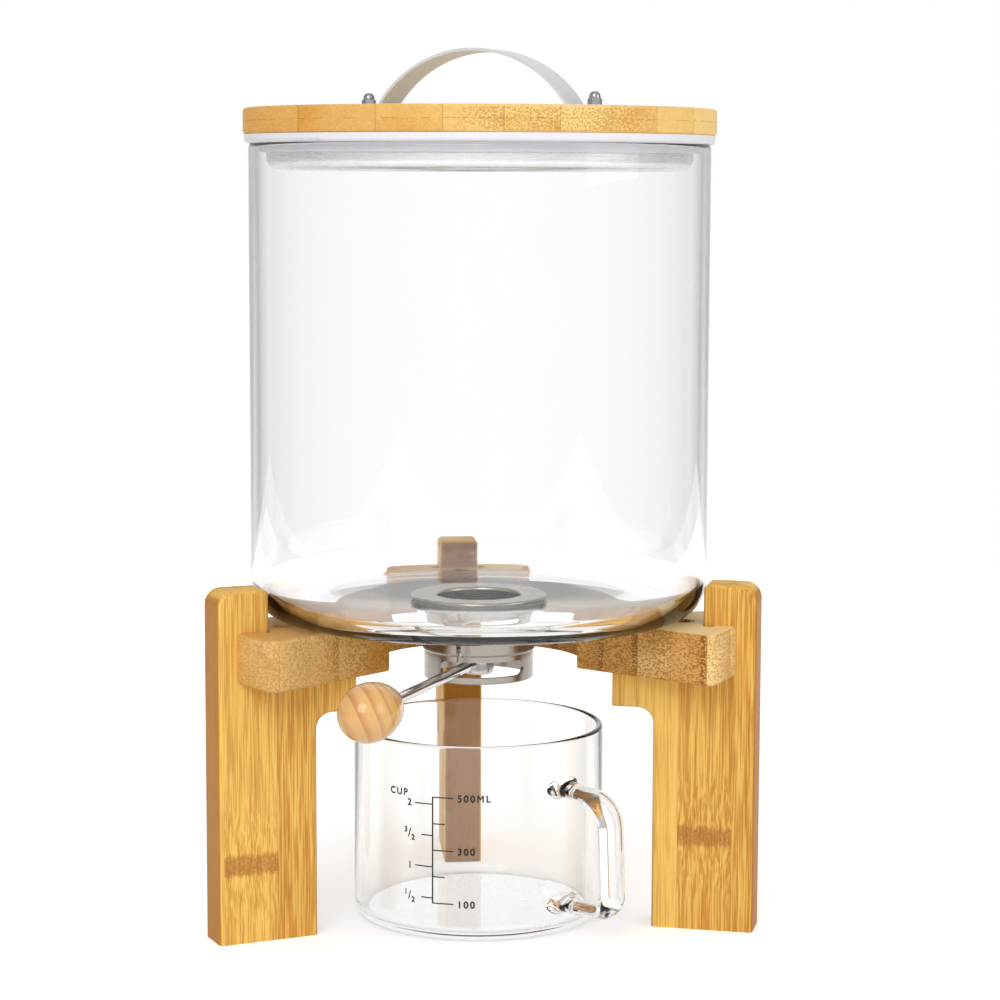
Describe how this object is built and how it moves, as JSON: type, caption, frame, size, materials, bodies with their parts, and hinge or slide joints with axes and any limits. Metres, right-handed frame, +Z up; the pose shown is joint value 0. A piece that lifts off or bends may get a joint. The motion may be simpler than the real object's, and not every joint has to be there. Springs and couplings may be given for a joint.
{
  "type": "rice dispenser",
  "caption": "Glass jar for dry food on a three-legged bamboo stand, with a bamboo lid, a rotary lever valve in its base and a glass measuring cup below.",
  "frame": {"origin": "on the table top, on the common axis of the jar, the valve and the measuring cup, at the middle of the cup's base", "axes": "+Z up, -Y towards the front where the lever is, +Y towards the back leg"},
  "size_m": [0.2404, 0.2514, 0.3805],
  "materials": {
    "bamboo_board": "laminated bamboo, grain upright, clear satin lacquer",
    "bamboo_plate": "laminated bamboo with end grain on the cut sides, clear satin lacquer",
    "bamboo_lid": "two-ply laminated bamboo, end grain round part of the rim, clear satin lacquer",
    "lacquered_wood": "laminated wood, gloss lacquer",
    "jar_glass": "clear borosilicate glass, fire polished",
    "cup_glass": "clear borosilicate glass with a printed measuring scale",
    "satin_steel": "satin brushed stainless steel",
    "polished_steel": "polished stainless steel",
    "zinc_steel": "zinc plated steel",
    "brass": "plain turned brass",
    "pale_silicone": "matte translucent silicone, pale lilac grey",
    "clear_silicone": "matte translucent silicone",
    "white_nylon": "moulded nylon"
  },
  "bodies": {
    "stand": {"leg_back": "bamboo_board", "leg_left": "bamboo_board", "leg_right": "bamboo_board", "stand_plate": "bamboo_plate", "stand_screws": "zinc_steel"},
    "jar": {"jar": "jar_glass", "inlet_flange": "satin_steel", "inner_gasket": "clear_silicone", "outer_gasket": "clear_silicone", "clamp_nut": "satin_steel", "valve_body": "satin_steel", "gate_plate": "satin_steel", "pivot_washer": "white_nylon"},
    "lever": {"shutter": "satin_steel", "pivot_screw": "polished_steel", "lever_rod": "polished_steel", "lever_knob": "lacquered_wood", "knob_insert": "brass"},
    "lid": {"lid_disc": "bamboo_lid", "lid_seal": "pale_silicone", "lid_plug": "satin_steel", "handle_strap": "satin_steel", "handle_bolts": "polished_steel", "handle_washers": "polished_steel", "acorn_nuts": "polished_steel"},
    "cup": {"measuring_cup": "cup_glass", "cup_handle": "cup_glass"}
  },
  "joints": [
    {"name": "jar_lift", "type": "slide", "parent": "stand", "child": "jar", "axis": [0, 0, 1], "range_m": [0, 0.12]},
    {"name": "lid_lift", "type": "slide", "parent": "jar", "child": "lid", "axis": [0, 0, 1], "range_m": [0, 0.09]},
    {"name": "lever_swing", "type": "hinge", "parent": "jar", "child": "lever", "pos_m": [0, 0, 0.1127], "axis": [0, 0, 1], "range_deg": [-16.5, 68.5]},
    {"name": "cup_slide", "type": "slide", "parent": "stand", "child": "cup", "axis": [0, -1, 0], "range_m": [0, 0.18]}
  ]
}
